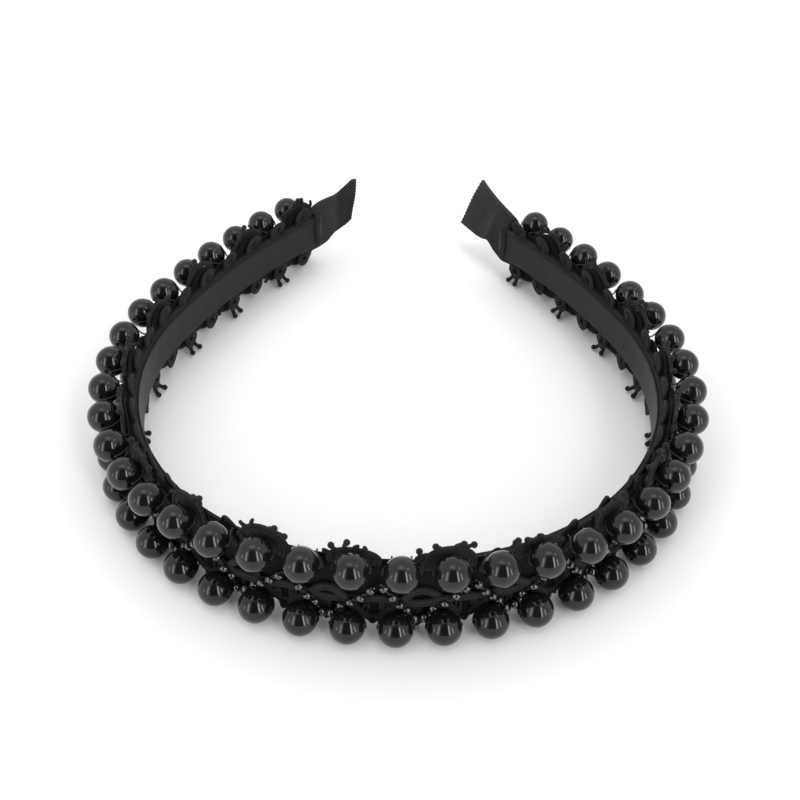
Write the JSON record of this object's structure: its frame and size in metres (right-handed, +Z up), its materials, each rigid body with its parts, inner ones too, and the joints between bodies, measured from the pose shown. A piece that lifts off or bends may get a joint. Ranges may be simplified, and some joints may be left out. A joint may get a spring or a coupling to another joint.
{
  "type": "headband",
  "caption": "Rigid hair headband: a curved band lined with ribbon and covered with a scalloped gimp braid edged by rows of round beads, with flat ribbon tips.",
  "frame": {"origin": "middle of the whole box, on the plane that the lower row of beads rests on", "axes": "+Z up with the band lying on one edge, +Y from the crown to the tips, +X to the wearer's one side; the open loop lies in the XY plane"},
  "size_m": [0.1576, 0.1674, 0.0281],
  "materials": {
    "round_bead": "high gloss black",
    "seed_bead": "gloss black, as opaque seed glass",
    "gimp_cord": "matt twisted cord",
    "braid_ground": "matt woven tape",
    "satin_ribbon": "soft satin",
    "grosgrain_ribbon": "ribbed weave",
    "thread": "fine sewing thread",
    "band_core": "moulded"
  },
  "bodies": {
    "crown": {"crown_bead_stitches": "thread", "crown_braid_ground": "braid_ground", "crown_core_band": "band_core", "crown_cover_ribbon": "satin_ribbon", "crown_lining_ribbon": "satin_ribbon", "crown_lower_beads": "round_bead", "crown_lower_eyelet_cords": "gimp_cord", "crown_lower_picots": "gimp_cord", "crown_lower_scallop_cords": "gimp_cord", "crown_middle_gimp_cords": "gimp_cord", "crown_seed_beads": "seed_bead", "crown_seed_threads": "thread", "crown_upper_beads": "round_bead", "crown_upper_eyelet_cords": "gimp_cord", "crown_upper_picots": "gimp_cord", "crown_upper_scallop_cords": "gimp_cord"},
    "left_arm": {"left_bead_stitches": "thread", "left_braid_ground": "braid_ground", "left_core_band": "band_core", "left_cover_ribbon": "satin_ribbon", "left_lining_ribbon": "satin_ribbon", "left_lower_beads": "round_bead", "left_lower_eyelet_cords": "gimp_cord", "left_lower_picots": "gimp_cord", "left_lower_scallop_cords": "gimp_cord", "left_middle_gimp_cords": "gimp_cord", "left_seed_beads": "seed_bead", "left_seed_threads": "thread", "left_tip_ribbon": "grosgrain_ribbon", "left_upper_beads": "round_bead", "left_upper_eyelet_cords": "gimp_cord", "left_upper_picots": "gimp_cord", "left_upper_scallop_cords": "gimp_cord"},
    "right_arm": {"right_bead_stitches": "thread", "right_braid_ground": "braid_ground", "right_core_band": "band_core", "right_cover_ribbon": "satin_ribbon", "right_lining_ribbon": "satin_ribbon", "right_lower_beads": "round_bead", "right_lower_eyelet_cords": "gimp_cord", "right_lower_picots": "gimp_cord", "right_lower_scallop_cords": "gimp_cord", "right_middle_gimp_cords": "gimp_cord", "right_seed_beads": "seed_bead", "right_seed_threads": "thread", "right_tip_ribbon": "grosgrain_ribbon", "right_upper_beads": "round_bead", "right_upper_eyelet_cords": "gimp_cord", "right_upper_picots": "gimp_cord", "right_upper_scallop_cords": "gimp_cord"}
  },
  "joints": [
    {"name": "left_arm_flex", "type": "hinge", "parent": "crown", "child": "left_arm", "pos_m": [-0.04037, -0.06131, 0.013], "axis": [0, 0, 1], "range_deg": [-3, 8], "stiffness_Nm_per_rad": 2},
    {"name": "right_arm_flex", "type": "hinge", "parent": "crown", "child": "right_arm", "pos_m": [0.043, -0.05956, 0.013], "axis": [0, 0, -1], "range_deg": [-3, 8], "stiffness_Nm_per_rad": 2}
  ]
}
